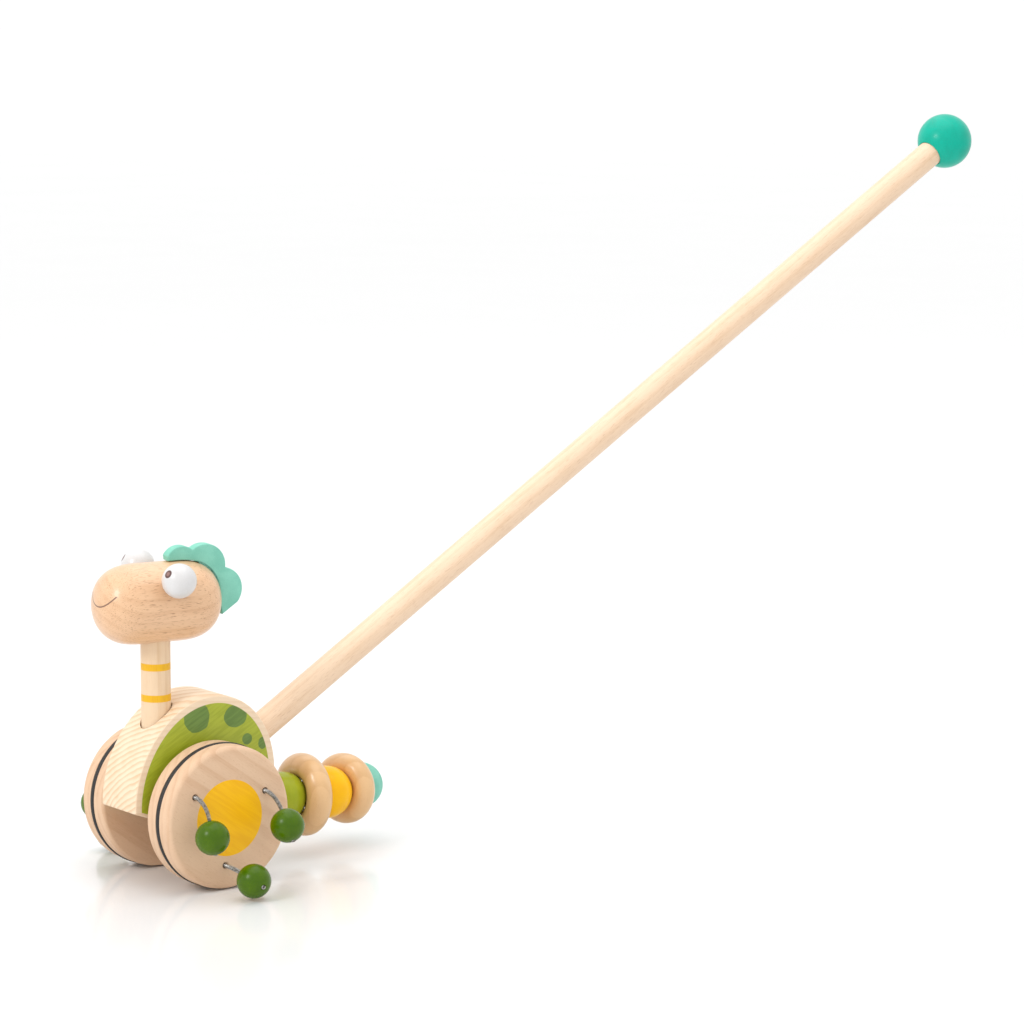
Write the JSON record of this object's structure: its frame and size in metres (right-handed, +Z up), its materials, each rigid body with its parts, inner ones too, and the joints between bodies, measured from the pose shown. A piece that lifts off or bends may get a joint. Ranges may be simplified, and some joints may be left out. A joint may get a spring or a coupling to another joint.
{
  "type": "push-along toy",
  "caption": "Wooden dinosaur push toy on a long rod: wheels with springy legs, bobbing head on a striped neck, and a tail of beads and rings.",
  "frame": {"origin": "under the middle of the whole toy's bounding box, on the floor that the wheels' rubber rings stand on", "axes": "+Z up; the dinosaur faces -Y, so its rod and tail point to +Y, the longest extent; +X is the dinosaur's left, along the axle, the shortest extent"},
  "size_m": [0.1624, 0.639, 0.4009],
  "materials": {
    "pine": "sanded, clear matt oil",
    "beech": "sanded, clear matt oil",
    "head_beech": "turned, satin varnish",
    "lacquered_beech": "turned, clear gloss lacquer",
    "dark_green_paint": "gloss paint on wood",
    "lime_paint": "gloss paint on wood",
    "yellow_paint": "gloss paint on wood",
    "mint_paint": "matt paint on wood",
    "teal_paint": "gloss paint on wood",
    "white_paint": "satin paint on wood",
    "black_rubber": "matt",
    "spring_steel": "bright wire"
  },
  "bodies": {
    "body": {"body_block": "pine", "push_rod": "beech", "knob": "teal_paint", "tail_spring_anchor": "spring_steel"},
    "wheels": {"axle": "beech", "lifting_cam": "beech", "wheel_left": "beech", "wheel_right": "beech", "tyre_left": "black_rubber", "tyre_right": "black_rubber", "spacer_left": "beech", "spacer_right": "beech"},
    "neck_lift": {"neck_foot": "beech"},
    "head": {"neck": "pine", "head": "head_beech", "crest": "mint_paint", "eye_left": "white_paint", "eye_right": "white_paint", "eye_peg_left": "beech", "eye_peg_right": "beech"},
    "leg_left_front": {"leg_spring_left_front": "spring_steel", "leg_ball_left_front": "dark_green_paint"},
    "leg_left_rear": {"leg_spring_left_rear": "spring_steel", "leg_ball_left_rear": "dark_green_paint"},
    "leg_left_lower": {"leg_spring_left_lower": "spring_steel", "leg_ball_left_lower": "dark_green_paint"},
    "leg_right_front": {"leg_spring_right_front": "spring_steel", "leg_ball_right_front": "dark_green_paint"},
    "leg_right_rear": {"leg_spring_right_rear": "spring_steel", "leg_ball_right_rear": "dark_green_paint"},
    "leg_right_lower": {"leg_spring_right_lower": "spring_steel", "leg_ball_right_lower": "dark_green_paint"},
    "tail_root": {"tail_spring_bend": "spring_steel"},
    "tail_front": {"tail_spring_front": "spring_steel"},
    "green_bead": {"tail_bead_green": "lime_paint"},
    "front_ring": {"tail_ring_front": "lacquered_beech"},
    "yellow_bead": {"tail_bead_yellow": "yellow_paint"},
    "tail_tip": {"tail_spring_rear": "spring_steel", "tail_bead_mint": "mint_paint"},
    "rear_ring": {"tail_ring_rear": "lacquered_beech"}
  },
  "joints": [
    {"name": "wheel_roll", "type": "hinge", "parent": "body", "child": "wheels", "pos_m": [0, -0.26623, 0.04], "axis": [1, 0, 0], "continuous": true},
    {"name": "head_bob", "type": "slide", "parent": "body", "child": "neck_lift", "axis": [0, 0, 1], "range_m": [0, 0.008]},
    {"name": "head_turn", "type": "hinge", "parent": "neck_lift", "child": "head", "pos_m": [0, -0.28433, 0.1548], "axis": [0, 0, 1], "continuous": true},
    {"name": "leg_left_front_bend", "type": "hinge", "parent": "wheels", "child": "leg_left_front", "pos_m": [0.0459, -0.28831, 0.05428], "axis": [0, 1, 0], "range_deg": [-40, 12], "stiffness_Nm_per_rad": 0.02},
    {"name": "leg_left_rear_bend", "type": "hinge", "parent": "wheels", "child": "leg_left_rear", "pos_m": [0.0459, -0.24282, 0.05198], "axis": [0, 1, 0], "range_deg": [-40, 20], "stiffness_Nm_per_rad": 0.02},
    {"name": "leg_left_lower_bend", "type": "hinge", "parent": "wheels", "child": "leg_left_lower", "pos_m": [0.0459, -0.26921, 0.01387], "axis": [0, 1, 0], "range_deg": [-30, 35], "stiffness_Nm_per_rad": 0.02},
    {"name": "leg_right_front_bend", "type": "hinge", "parent": "wheels", "child": "leg_right_front", "pos_m": [-0.0459, -0.28831, 0.05428], "axis": [0, -1, 0], "range_deg": [-50, 4], "stiffness_Nm_per_rad": 0.02},
    {"name": "leg_right_rear_bend", "type": "hinge", "parent": "wheels", "child": "leg_right_rear", "pos_m": [-0.0459, -0.24282, 0.05198], "axis": [0, -1, 0], "range_deg": [-40, 20], "stiffness_Nm_per_rad": 0.02},
    {"name": "leg_right_lower_bend", "type": "hinge", "parent": "wheels", "child": "leg_right_lower", "pos_m": [-0.0459, -0.26921, 0.01387], "axis": [0, -1, 0], "range_deg": [-30, 35], "stiffness_Nm_per_rad": 0.02},
    {"name": "tail_lift", "type": "hinge", "parent": "body", "child": "tail_root", "pos_m": [0, -0.22043, 0.03595], "axis": [1, 0, 0], "range_deg": [-5, 5], "stiffness_Nm_per_rad": 1.5, "springref_deg": 0.69},
    {"name": "tail_wag", "type": "hinge", "parent": "tail_root", "child": "tail_front", "pos_m": [0, -0.21843, 0.03585], "axis": [0, 0.0523, 0.9986], "range_deg": [-12, 12], "stiffness_Nm_per_rad": 0.3},
    {"name": "tail_tip_wag", "type": "hinge", "parent": "tail_front", "child": "tail_tip", "pos_m": [0, -0.17145, 0.03339], "axis": [0, 0.0523, 0.9986], "range_deg": [-17, 8], "stiffness_Nm_per_rad": 0.2},
    {"name": "green_bead_spin", "type": "hinge", "parent": "tail_front", "child": "green_bead", "pos_m": [0, -0.21843, 0.03585], "axis": [0, 0.9986, -0.0523], "continuous": true},
    {"name": "front_ring_spin", "type": "hinge", "parent": "tail_front", "child": "front_ring", "pos_m": [0, -0.21843, 0.03585], "axis": [0, 0.9986, -0.0523], "continuous": true},
    {"name": "yellow_bead_spin", "type": "hinge", "parent": "tail_front", "child": "yellow_bead", "pos_m": [0, -0.17145, 0.03339], "axis": [-0.292, 0.955, -0.0523], "continuous": true},
    {"name": "rear_ring_spin", "type": "hinge", "parent": "tail_tip", "child": "rear_ring", "pos_m": [0, -0.17145, 0.03339], "axis": [-0.292, 0.955, -0.0523], "continuous": true}
  ]
}
